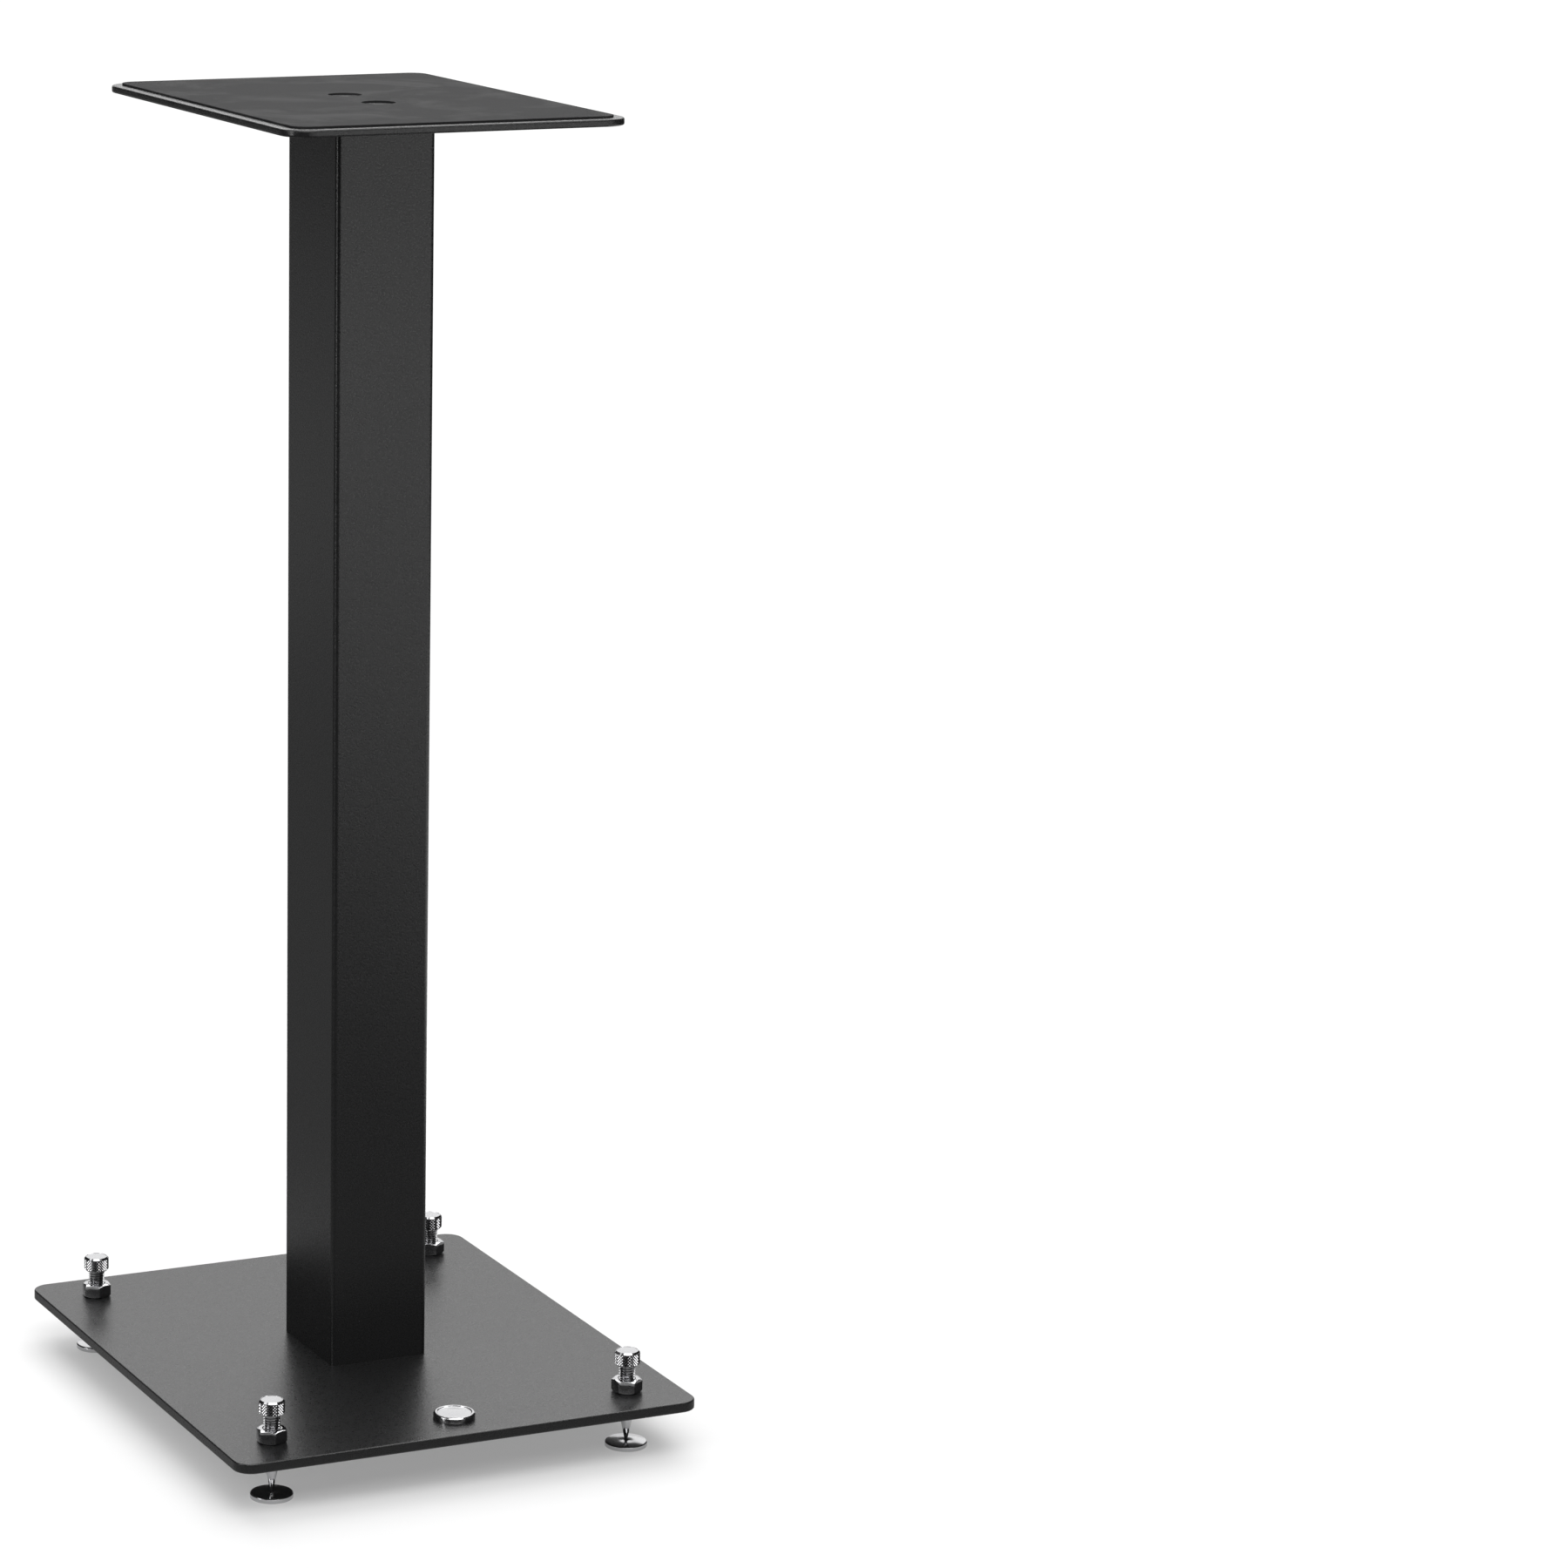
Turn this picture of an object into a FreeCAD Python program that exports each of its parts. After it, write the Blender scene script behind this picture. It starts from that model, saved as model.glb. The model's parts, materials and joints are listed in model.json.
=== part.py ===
import FreeCAD, Part

import os
import re

import Sketcher

# Speaker stand: a steel base plate on four adjustable spikes, a rectangular column and a
# small top plate with a thin rubber mat. Millimetres, +Z up, the front faces -Y, and the
# origin lies on the floor under the middle of the column. Left is -X.

# ---------------------------------------------------------------------------- sizes

SIZES = [
    ("floor_gap", 22.5, "floor to the underside of the base plate"),
    ("base_width", 237, "base plate, along X"),
    ("base_depth", 287, "base plate, along Y"),
    ("base_thickness", 5, "base plate"),
    ("base_corner", 9, "radius of the base plate's corners"),
    ("base_edge", 0.8, "rounding along the base plate's edges"),
    ("column_width", 50, "column, along X"),
    ("column_depth", 60, "column, along Y"),
    ("column_length", 606, "column, along Z"),
    ("column_wall", 2, "wall of the column's tube"),
    ("column_corner", 2.5, "outer radius of the column's corners"),
    ("column_inner_corner", 0.5, "inner radius of the column's corners"),
    ("cap_thickness", 8, "threaded plate welded into each end of the column"),
    ("weld_gap", 0.1, "clearance round an end plate inside the tube"),
    ("top_width", 169, "top plate, along X"),
    ("top_depth", 235, "top plate, along Y"),
    ("top_thickness", 3.5, "top plate"),
    ("top_corner", 13, "radius of the top plate's corners"),
    ("top_edge", 1, "rounding along the top plate's edges"),
    ("mat_inset", 5, "edge of the top plate to the edge of the mat"),
    ("mat_thickness", 1, "rubber mat"),
    ("mat_edge", 0.25, "rounding along the mat's upper edge"),
    ("mat_margin", 2, "a screw's head to the edge of the mat's hole over it"),
    ("screw_inset", 10, "face of the column to the axis of a screw near it"),
    ("screw_diameter", 6, "countersunk screw, thread"),
    ("screw_length", 12, "countersunk screw, over all"),
    ("screw_head", 12, "countersunk screw, head diameter"),
    ("screw_rim", 0.3, "straight rim above the head's cone"),
    ("screw_sink", 0.2, "depth of the head below the plate's face"),
    ("screw_hole", 6.6, "clearance hole for the screw"),
    ("screw_point", 0.6, "chamfer at the screw's end"),
    ("socket_flats", 4, "hexagon socket, across flats"),
    ("socket_deep", 2.4, "hexagon socket, depth"),
    ("seat_gap", 0.05, "clearance between a head's cone and its countersink"),
    ("thread_gap", 0.05, "radial clearance of a thread in its hole"),
    ("thread_mouth", 0.5, "least bevel at the mouth of a threaded hole"),
    ("foot_inset", 26.5, "edge of the base plate to a spike's axis, both ways"),
    ("stud_diameter", 8, "spike's thread"),
    ("thread_length", 22, "spike, from its cone to its head"),
    ("spike_length", 16.8, "spike's cone"),
    ("tip_diameter", 1.2, "cone at its blunt tip"),
    ("tip_round", 0.4, "rounding of the tip"),
    ("head_diameter", 12.5, "spike's turning head"),
    ("head_height", 7.2, "spike's turning head"),
    ("head_bevel", 1, "bevels of the turning head"),
    ("nut_flats", 13, "lock nut, across flats"),
    ("nut_height", 6.5, "lock nut"),
    ("nut_face_inset", 0.4, "side of the lock nut to the rim of its round face"),
    ("nut_bore_bevel", 0.4, "bevel at each end of the nut's thread"),
    ("nut_turn_left", 21, "degrees the nuts on the left are turned"),
    ("nut_turn_right", 33, "degrees the nuts on the right are turned"),
    ("shoe_diameter", 20.5, "floor disc under a spike"),
    ("shoe_thickness", 2.5, "floor disc"),
    ("shoe_bevel", 0.5, "bevel round the disc's upper edge"),
    ("shoe_foot_bevel", 0.2, "bevel round the disc's lower edge"),
    ("dimple_diameter", 3, "seat for the spike's tip"),
    ("dimple_deep", 0.8, "seat for the spike's tip"),
    ("tip_gap", 0.3, "tip above the bottom of its seat"),
    ("badge_diameter", 20, "plain round badge"),
    ("badge_height", 3, "plain round badge"),
    ("badge_edge", 0.8, "rounding of the badge's upper edge"),
    ("badge_setback", 23.5, "front edge of the base plate to the badge's middle"),
]
NAMES = {name for name, value, note in SIZES}

doc = FreeCAD.newDocument("SpeakerStand")
sheet = doc.addObject("Spreadsheet::Sheet", "Sizes")
for row, (name, value, note) in enumerate(SIZES, start=1):
    sheet.set(f"A{row}", str(value))
    sheet.setAlias(f"A{row}", name)
    sheet.set(f"B{row}", note)
doc.recompute()


def formula(text):
    """Turn the size names in a formula into cells of the sheet."""
    return re.sub(r"[a-z_]+", lambda m: "Sizes." + m[0] if m[0] in NAMES else m[0], text)


def bind(target, prop, text):
    """Tie a property, or a sketch's constraint, to a formula of named sizes."""
    target.setExpression(prop, formula(text))


# Heights of the faces that pieces stand on, as formulas.
BASE_TOP = "(floor_gap + base_thickness)"
COLUMN_TOP = "(floor_gap + base_thickness + column_length)"
TOP_FACE = "(floor_gap + base_thickness + column_length + top_thickness)"
TIP_HEIGHT = "(shoe_thickness - dimple_deep + tip_gap)"

# The two screws at each end of the column stand in a line from front to back. A head's
# cone reaches this far below the face of its plate, and may go through a thin plate.
SCREW_Y = "(column_depth / 2 - screw_inset)"
CONE_REACH = "(screw_sink + screw_rim + (screw_head - screw_diameter) / 2)"

# ---------------------------------------------------------------- bodies and sketches


def new_body(label, x="0", y="0", z="0"):
    """A sub-part with its own name, placed by formulas."""
    body = doc.addObject("PartDesign::Body", label)
    body.Label = label
    for axis, text in zip("xyz", (x, y, z)):
        bind(body, f"Placement.Base.{axis}", text)
    return body


def sketch_on(body, role, name, height="0"):
    """A sketch on one of the body's own origin planes, raised along its normal."""
    sketch = body.newObject("Sketcher::SketchObject", name)
    plane = next(item for item in body.Origin.OriginFeatures if item.Role == role)
    sketch.AttachmentSupport = [(plane, "")]
    sketch.MapMode = "FlatFace"
    bind(sketch, "AttachmentOffset.Base.z", height)
    return sketch


def constrain(sketch, kind, *where, size=None):
    """Add a constraint, with its value tied to a formula if it has one."""
    start_value = () if size is None else (1.0,)
    index = sketch.addConstraint(Sketcher.Constraint(kind, *where, *start_value))
    if size is not None:
        bind(sketch, f"Constraints[{index}]", size)


TINY = 0.001  # two places nearer than this are the same place
ORIGIN = (-1, 1)
H_AXIS, V_AXIS = -1, -2
START, END, CENTRE = 1, 2, 3


def add_rectangle(sketch, width, depth):
    """A rectangle centred on the sketch's origin."""
    corners = [FreeCAD.Vector(x, y, 0) for x, y in ((-1, -1), (1, -1), (1, 1), (-1, 1))]
    sides = [Part.LineSegment(corners[i], corners[(i + 1) % 4]) for i in range(4)]
    lines = [sketch.addGeometry(side, False) for side in sides]
    for i in range(4):
        constrain(sketch, "Coincident", lines[i], END, lines[(i + 1) % 4], START)
        constrain(sketch, "Vertical" if i % 2 else "Horizontal", lines[i])
    constrain(sketch, "Symmetric", lines[0], START, lines[2], START, *ORIGIN)
    constrain(sketch, "DistanceX", lines[0], START, lines[0], END, size=width)
    constrain(sketch, "DistanceY", lines[1], START, lines[1], END, size=depth)


def add_outline(sketch, points):
    """A closed outline whose corners are (x, y) formulas."""
    start = FreeCAD.Vector(1, 0, 0)
    turn = FreeCAD.Rotation(FreeCAD.Vector(0, 0, 1), 360 / len(points))
    first = len(sketch.Geometry)
    for i in range(len(points)):
        end = turn.multVec(start)
        sketch.addGeometry(Part.LineSegment(start, end), False)
        start = end
    for i, (x, y) in enumerate(points):
        line = first + i
        following = first + (i + 1) % len(points)
        constrain(sketch, "Coincident", line, END, following, START)
        for kind, axis, text in (("DistanceX", V_AXIS, x), ("DistanceY", H_AXIS, y)):
            if text == "0":
                constrain(sketch, "PointOnObject", line, START, axis)
            else:
                constrain(sketch, kind, *ORIGIN, line, START, size=text)


def add_circles(sketch, diameter, x, y):
    """Equal circles at +-x, +-y about the sketch's origin; 0 puts them on that axis."""
    sides_x = (1,) if x == "0" else (1, -1)
    sides_y = (1,) if y == "0" else (1, -1)
    circles = {}
    for sx in sides_x:
        for sy in sides_y:
            middle = FreeCAD.Vector(3 * sx, 3 * sy, 0)
            circles[sx, sy] = sketch.addGeometry(Part.Circle(middle, FreeCAD.Vector(0, 0, 1), 1), False)
    first = circles[1, 1]
    constrain(sketch, "Diameter", first, size=diameter)
    for kind, axis, text in (("DistanceX", V_AXIS, x), ("DistanceY", H_AXIS, y)):
        if text == "0":
            constrain(sketch, "PointOnObject", first, CENTRE, axis)
        else:
            constrain(sketch, kind, *ORIGIN, first, CENTRE, size=text)
    for (sx, sy), circle in circles.items():
        if circle == first:
            continue
        constrain(sketch, "Equal", first, circle)
        if sx == -1 and sy == -1:
            constrain(sketch, "Symmetric", first, CENTRE, circle, CENTRE, *ORIGIN)
        else:
            constrain(sketch, "Symmetric", first, CENTRE, circle, CENTRE, V_AXIS if sx == -1 else H_AXIS)


def add_hexagon(sketch, flats):
    """A regular hexagon round the sketch's origin, with two corners on its X axis."""
    far, near, side = f"{flats} / sqrt(3)", f"{flats} / sqrt(12)", f"{flats} / 2"
    outline = [
        (far, "0"),
        (near, side),
        ("-" + near, side),
        ("-" + far, "0"),
        ("-" + near, "-" + side),
        (near, "-" + side),
    ]
    add_outline(sketch, outline)


# --------------------------------------------------------------------------- features


def pad(body, sketch, name, length):
    """Raise a sketch into a solid."""
    feature = body.newObject("PartDesign::Pad", name)
    feature.Profile = sketch
    bind(feature, "Length", length)
    doc.recompute()
    return feature


def checked_cut(body, feature, before):
    """Recompute a cut and make sure that it took something away."""
    doc.recompute()
    if not body.Shape.Volume < before - TINY:
        raise RuntimeError(f"{body.Label}: {feature.Name} cuts nothing")
    return feature


def pocket(body, sketch, name, length=None):
    """Cut a sketch down into the body, right through unless a length is given."""
    before = body.Shape.Volume
    feature = body.newObject("PartDesign::Pocket", name)
    feature.Profile = sketch
    if length is None:
        feature.Type = "ThroughAll"
    else:
        bind(feature, "Length", length)
    return checked_cut(body, feature, before)


def turned(body, sketch, name, kind="Revolution"):
    """Revolve, or groove, a half section round the body's Z axis."""
    before = body.Shape.Volume if kind == "Groove" else None
    feature = body.newObject("PartDesign::" + kind, name)
    feature.Profile = sketch
    feature.ReferenceAxis = (sketch, ["V_Axis"])
    feature.Angle = 360
    if kind == "Groove":
        return checked_cut(body, feature, before)
    doc.recompute()
    return feature


def countersunk_holes(body, name, height, from_below):
    """Two countersunk screw holes in a plate, in a line from front to back."""
    before = body.Shape.Volume
    sketch = sketch_on(body, "XY_Plane", name + "_places", height)
    add_circles(sketch, "screw_hole", "0", SCREW_Y)
    hole = body.newObject("PartDesign::Hole", name)
    hole.Profile = sketch
    doc.recompute()
    hole.Threaded = False
    hole.DepthType = "ThroughAll"
    hole.Reversed = from_below
    bind(hole, "Diameter", "screw_hole")
    hole.HoleCutType = "Countersink"
    hole.HoleCutCustomValues = True
    bind(hole, "HoleCutDiameter", "screw_head + 2 * (screw_rim + screw_sink + seat_gap)")
    hole.HoleCutCountersinkAngle = 90
    return checked_cut(body, hole, before)


def edge_names(body, wanted):
    """Names of the body's edges that a test picks out, in the body's own frame."""
    names = [f"Edge{i}" for i, edge in enumerate(body.Tip.Shape.Edges, start=1) if wanted(edge)]
    if not names:
        raise RuntimeError(f"{body.Label}: no edge found to round or bevel")
    return names


def round_edges(body, name, wanted, radius):
    """Fillet the picked edges."""
    picked = (body.Tip, edge_names(body, wanted))
    feature = body.newObject("PartDesign::Fillet", name)
    feature.Base = picked
    bind(feature, "Radius", radius)
    doc.recompute()


def bevel_edges(body, name, wanted, width):
    """Chamfer the picked edges."""
    picked = (body.Tip, edge_names(body, wanted))
    feature = body.newObject("PartDesign::Chamfer", name)
    feature.Base = picked
    bind(feature, "Size", width)
    doc.recompute()


def mouth_of(radius, height=None):
    """A test for the rims of holes of one radius, at one height or at any."""

    def wanted(edge):
        curve = edge.Curve
        if not isinstance(curve, Part.Circle) or abs(curve.Radius - radius) > TINY:
            return False
        return height is None or abs(curve.Center.z - height) < TINY

    return wanted


def upright(edge):
    """True for an edge that runs along Z."""
    box = edge.BoundBox
    return box.XLength + box.YLength < TINY


def level_at(height):
    """A test for edges that lie flat at one height."""
    return lambda edge: edge.BoundBox.ZLength < TINY and abs(edge.BoundBox.ZMax - height) < TINY


def rounded_plate(label, z, width, depth, thickness, corner):
    """A flat plate with round corners, lying on a height."""
    body = new_body(label, z=z)
    outline = sketch_on(body, "XY_Plane", label + "_outline")
    add_rectangle(outline, width, depth)
    pad(body, outline, label + "_sheet", thickness)
    round_edges(body, label + "_corners", upright, corner)
    return body


# ------------------------------------------------------------------------- sub-parts

FOOT_X = "(base_width / 2 - foot_inset)"
FOOT_Y = "(base_depth / 2 - foot_inset)"
FEET = {
    "front_left": ("-" + FOOT_X, "-" + FOOT_Y, "nut_turn_left"),
    "front_right": (FOOT_X, "-" + FOOT_Y, "nut_turn_right"),
    "rear_left": ("-" + FOOT_X, FOOT_Y, "nut_turn_left"),
    "rear_right": (FOOT_X, FOOT_Y, "nut_turn_right"),
}


def base_plate():
    """Steel base with a threaded hole near each corner and the column's screws from below."""
    body = rounded_plate(
        "base_plate", "floor_gap", "base_width", "base_depth", "base_thickness", "base_corner"
    )
    round_edges(body, "base_plate_upper_edge", level_at(sheet.base_thickness), "base_edge")
    round_edges(body, "base_plate_lower_edge", level_at(0), "base_edge")
    feet = sketch_on(body, "XY_Plane", "spike_threads", "base_thickness")
    add_circles(feet, "stud_diameter + 2 * thread_gap", FOOT_X, FOOT_Y)
    pocket(body, feet, "spike_holes")
    countersunk_holes(body, "column_screw_holes", "0", from_below=True)
    return body


def column():
    """Rectangular steel tube."""
    body = new_body("column", z=BASE_TOP)
    section = sketch_on(body, "XY_Plane", "column_section")
    add_rectangle(section, "column_width", "column_depth")
    add_rectangle(section, "column_width - 2 * column_wall", "column_depth - 2 * column_wall")
    pad(body, section, "column_tube", "column_length")
    outside = sheet.column_width / 2 - sheet.column_wall / 2

    def outer(edge):
        return upright(edge) and abs(edge.BoundBox.XMax) > outside

    def inner(edge):
        return upright(edge) and abs(edge.BoundBox.XMax) < outside and edge.Length > sheet.column_length / 2

    round_edges(body, "column_outer_corners", outer, "column_corner")
    round_edges(body, "column_inner_corners", inner, "column_inner_corner")
    return body


def column_end_plate(label, z, mouth_height, clamped):
    """Threaded plate welded flush into one end of the column.

    Each thread's mouth, on the face that meets the clamped plate, also clears the screw's cone.
    """
    slack = "2 * (column_wall + weld_gap)"
    width, depth = "column_width - " + slack, "column_depth - " + slack
    body = rounded_plate(label, z, width, depth, "cap_thickness", "column_inner_corner")
    threads = sketch_on(body, "XY_Plane", label + "_threads", "cap_thickness")
    add_circles(threads, "screw_diameter + 2 * thread_gap", "0", SCREW_Y)
    pocket(body, threads, label + "_screw_holes")
    mouths = mouth_of(sheet.screw_diameter / 2 + sheet.thread_gap, mouth_height)
    bevel_edges(body, label + "_mouths", mouths, f"max(thread_mouth; {CONE_REACH} - {clamped} + seat_gap)")
    return body


def top_plate():
    """Steel top plate, screwed down onto the column."""
    body = rounded_plate("top_plate", COLUMN_TOP, "top_width", "top_depth", "top_thickness", "top_corner")
    round_edges(body, "top_plate_upper_edge", level_at(sheet.top_thickness), "top_edge")
    round_edges(body, "top_plate_lower_edge", level_at(0), "top_edge")
    countersunk_holes(body, "top_screw_holes", "top_thickness", from_below=False)
    return body


def top_mat():
    """Thin rubber mat with two round holes over the screws."""
    body = rounded_plate(
        "top_mat",
        TOP_FACE,
        "top_width - 2 * mat_inset",
        "top_depth - 2 * mat_inset",
        "mat_thickness",
        "top_corner - mat_inset",
    )
    holes = sketch_on(body, "XY_Plane", "mat_hole_places", "mat_thickness")
    add_circles(holes, "screw_head + 2 * mat_margin", "0", SCREW_Y)
    pocket(body, holes, "mat_holes")
    round_edges(body, "mat_upper_edge", level_at(sheet.mat_thickness), "mat_edge")
    return body


def countersunk_screw(label, y, z, from_below):
    """Countersunk socket screw, its head's face at the given height."""
    body = new_body(label, y=y, z=z)
    if from_below:
        body.Placement.Rotation = FreeCAD.Rotation(FreeCAD.Vector(1, 0, 0), 180)
    head, shank = "screw_head / 2", "screw_diameter / 2"
    cone_foot = f"-(screw_rim + {head} - {shank})"
    half = sketch_on(body, "XZ_Plane", label + "_half_section")
    outline = [
        ("0", "0"),
        (head, "0"),
        (head, "-screw_rim"),
        (shank, cone_foot),
        (shank, "-(screw_length - screw_point)"),
        (f"{shank} - screw_point", "-screw_length"),
        ("0", "-screw_length"),
    ]
    add_outline(half, outline)
    turned(body, half, label + "_turned")
    socket = sketch_on(body, "XY_Plane", label + "_socket_outline")
    add_hexagon(socket, "socket_flats")
    pocket(body, socket, label + "_socket", "socket_deep")
    return body


def spike_stud(foot, x, y):
    """Turning head, thread and spike, one turned piece that stands on its tip."""
    label = "spike_stud_" + foot
    body = new_body(label, x, y, TIP_HEIGHT)
    tip, thread, head = "tip_diameter / 2", "stud_diameter / 2", "head_diameter / 2"
    shoulder = "spike_length + thread_length"
    half = sketch_on(body, "XZ_Plane", label + "_half_section")
    outline = [
        ("0", "0"),
        (tip, "0"),
        (thread, "spike_length"),
        (thread, shoulder),
        (f"{head} - head_bevel", shoulder),
        (head, f"{shoulder} + head_bevel"),
        (head, f"{shoulder} + head_height - head_bevel"),
        (f"{head} - head_bevel", f"{shoulder} + head_height"),
        ("0", f"{shoulder} + head_height"),
    ]
    add_outline(half, outline)
    turned(body, half, label + "_turned")
    round_edges(body, label + "_tip", level_at(0), "tip_round")
    return body


def lock_nut(foot, x, y, turn):
    """Hexagon nut, bevelled on both faces, tight on the base plate."""
    label = "lock_nut_" + foot
    body = new_body(label, x, y, BASE_TOP)
    body.Placement.Rotation = FreeCAD.Rotation(FreeCAD.Vector(0, 0, 1), 1)
    bind(body, "Placement.Rotation.Angle", turn)
    hexagon = sketch_on(body, "XY_Plane", label + "_hexagon")
    add_hexagon(hexagon, "nut_flats")
    pad(body, hexagon, label + "_blank", "nut_height")
    bevels = sketch_on(body, "XZ_Plane", label + "_bevels")
    face, clear = "(nut_flats / 2 - nut_face_inset)", "nut_flats"
    drop = f"({clear} - {face}) / sqrt(3)"
    add_outline(bevels, [(face, "0"), (clear, "0"), (clear, drop)])
    add_outline(bevels, [(face, "nut_height"), (clear, "nut_height"), (clear, f"nut_height - {drop}")])
    turned(body, bevels, label + "_bevelled", "Groove")
    thread = sketch_on(body, "XY_Plane", label + "_thread", "nut_height")
    add_circles(thread, "stud_diameter + 2 * thread_gap", "0", "0")
    pocket(body, thread, label + "_bore")
    mouths = mouth_of(sheet.stud_diameter / 2 + sheet.thread_gap)
    bevel_edges(body, label + "_mouths", mouths, "nut_bore_bevel")
    return body


def floor_shoe(foot, x, y):
    """Round floor disc with a small conical seat for the spike's tip."""
    label = "floor_disc_" + foot
    body = new_body(label, x, y)
    rim = "shoe_diameter / 2"
    half = sketch_on(body, "XZ_Plane", label + "_half_section")
    outline = [
        ("0", "0"),
        (f"{rim} - shoe_foot_bevel", "0"),
        (rim, "shoe_foot_bevel"),
        (rim, "shoe_thickness - shoe_bevel"),
        (f"{rim} - shoe_bevel", "shoe_thickness"),
        ("dimple_diameter / 2", "shoe_thickness"),
        ("0", "shoe_thickness - dimple_deep"),
    ]
    add_outline(half, outline)
    turned(body, half, label + "_turned")
    return body


def front_badge():
    """Plain round badge on the base plate, behind the middle of its front edge."""
    body = new_body("front_badge", y="-(base_depth / 2 - badge_setback)", z=BASE_TOP)
    outline = sketch_on(body, "XY_Plane", "badge_outline")
    add_circles(outline, "badge_diameter", "0", "0")
    pad(body, outline, "badge_button", "badge_height")
    round_edges(body, "badge_upper_edge", level_at(sheet.badge_height), "badge_edge")
    return body


parts = [
    base_plate(),
    column(),
    column_end_plate("column_lower_end_plate", BASE_TOP, 0, "base_thickness"),
    column_end_plate(
        "column_upper_end_plate", COLUMN_TOP + " - cap_thickness", sheet.cap_thickness, "top_thickness"
    ),
    top_plate(),
    top_mat(),
    countersunk_screw("top_screw_front", "-" + SCREW_Y, TOP_FACE + " - screw_sink", from_below=False),
    countersunk_screw("top_screw_rear", SCREW_Y, TOP_FACE + " - screw_sink", from_below=False),
    countersunk_screw("base_screw_front", "-" + SCREW_Y, "floor_gap + screw_sink", from_below=True),
    countersunk_screw("base_screw_rear", SCREW_Y, "floor_gap + screw_sink", from_below=True),
    front_badge(),
]
for foot, (x, y, turn) in FEET.items():
    parts += [spike_stud(foot, x, y), lock_nut(foot, x, y, turn), floor_shoe(foot, x, y)]

# ------------------------------------------------------------------- check and write

doc.recompute()
for item in doc.Objects:
    if {"Invalid", "Error"} & set(item.State):
        raise RuntimeError(f"{item.Name} did not build: {item.State}")
for body in parts:
    if body.Shape.isNull() or not body.Shape.isValid() or len(body.Shape.Solids) != 1:
        raise RuntimeError(f"{body.Label} is not one valid solid")

os.makedirs("parts", exist_ok=True)
for body in parts:
    body.Shape.exportStep(f"parts/{body.Label}.step")
    box = body.Shape.BoundBox
    print(f"{body.Label:26s} {body.Shape.Volume / 1000:9.3f} cm3  z {box.ZMin:7.2f} to {box.ZMax:7.2f}")
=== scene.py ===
# %% [markdown]
# # A black speaker stand
# The stand is a steel base plate on four adjustable spikes, a rectangular column, and a small
# top plate with a thin rubber mat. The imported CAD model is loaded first, and everything here
# follows it. Plates, column and mat already have the right shape, so they keep their CAD mesh
# and get a finish. The small bright parts are built again below, because a knurl, a screw
# thread and the soft edges of a turned part are too fine for the CAD model.

# %% Load the CAD model
import json
import math

import bmesh
import bpy
from mathutils import Matrix, Vector


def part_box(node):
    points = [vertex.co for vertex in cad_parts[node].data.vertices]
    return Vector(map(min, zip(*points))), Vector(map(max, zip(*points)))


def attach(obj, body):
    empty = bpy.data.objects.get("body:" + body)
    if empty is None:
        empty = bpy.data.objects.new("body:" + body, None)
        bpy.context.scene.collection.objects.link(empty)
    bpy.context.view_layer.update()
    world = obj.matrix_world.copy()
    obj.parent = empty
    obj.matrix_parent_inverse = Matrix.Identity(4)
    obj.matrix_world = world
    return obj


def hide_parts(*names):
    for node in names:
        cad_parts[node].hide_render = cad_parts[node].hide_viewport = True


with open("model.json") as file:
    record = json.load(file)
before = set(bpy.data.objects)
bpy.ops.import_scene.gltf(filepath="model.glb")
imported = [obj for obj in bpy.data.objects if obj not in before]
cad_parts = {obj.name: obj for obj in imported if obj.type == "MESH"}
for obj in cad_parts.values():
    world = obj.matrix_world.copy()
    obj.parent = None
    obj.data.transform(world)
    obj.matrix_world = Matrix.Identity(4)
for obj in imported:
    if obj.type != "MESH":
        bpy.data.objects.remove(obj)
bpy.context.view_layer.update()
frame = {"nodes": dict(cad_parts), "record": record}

MM = 0.001

# %% [markdown]
# ## Where the feet are
# Each foot is a spike, a lock nut and a floor disc on one upright axis. The axis could be
# typed in, but the CAD model knows it already: the middle of the spike's box lies on it. When
# the base plate changes size, the rebuilt parts then follow by themselves.

# %% Read the feet's axes
FEET = ("front_left", "front_right", "rear_left", "rear_right")


def middle_axis(node):
    """The upright axis through the middle of a CAD node, as a point on the floor."""
    low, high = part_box(node)
    middle = (low + high) / 2
    return Vector((middle.x, middle.y, 0))


foot_axis = {foot: middle_axis("spike_stud_" + foot) for foot in FEET}
feet_in_mm = {foot: [round(side / MM, 1) for side in axis.xy] for foot, axis in foot_axis.items()}
print("feet in mm:", feet_in_mm)

# %% [markdown]
# ## Helpers for node trees
# Every finish below is a small tree of shader nodes. Adding a node, setting its options and
# linking its inputs takes many lines each time, so one helper does all three. Shorter ones use
# it for the nodes that come back often: sums, ramps and blends. Another helper starts a node
# group, which is a tree with named inputs and outputs that several materials can share, each
# with its own values.

# %% Node helpers
# A Mix node has inputs for every kind of value. These are its colour inputs and output.
FIRST_COLOUR = 6
SECOND_COLOUR = 7
MIXED_COLOUR = 2


def add_node(tree, kind, feeds, **options):
    """Add a node. feeds gives its inputs, by name or number, as values or other nodes' outputs."""
    node = tree.nodes.new(kind)
    for name, value in options.items():
        setattr(node, name, value)
    for name, value in feeds.items():
        if isinstance(value, bpy.types.NodeSocket):
            tree.links.new(value, node.inputs[name])
        else:
            node.inputs[name].default_value = value
    return node


def add_math(tree, operation, *numbers):
    """A Math node's result, from values or other nodes' outputs."""
    feeds = dict(enumerate(numbers))
    return add_node(tree, "ShaderNodeMath", feeds, operation=operation).outputs[0]


def add_ramp(tree, value, start, end, low=0.0, high=1.0, kind="LINEAR"):
    """A value between start and end, mapped to between low and high."""
    feeds = {"Value": value, "From Min": start, "From Max": end, "To Min": low, "To Max": high}
    return add_node(tree, "ShaderNodeMapRange", feeds, interpolation_type=kind).outputs[0]


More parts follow.
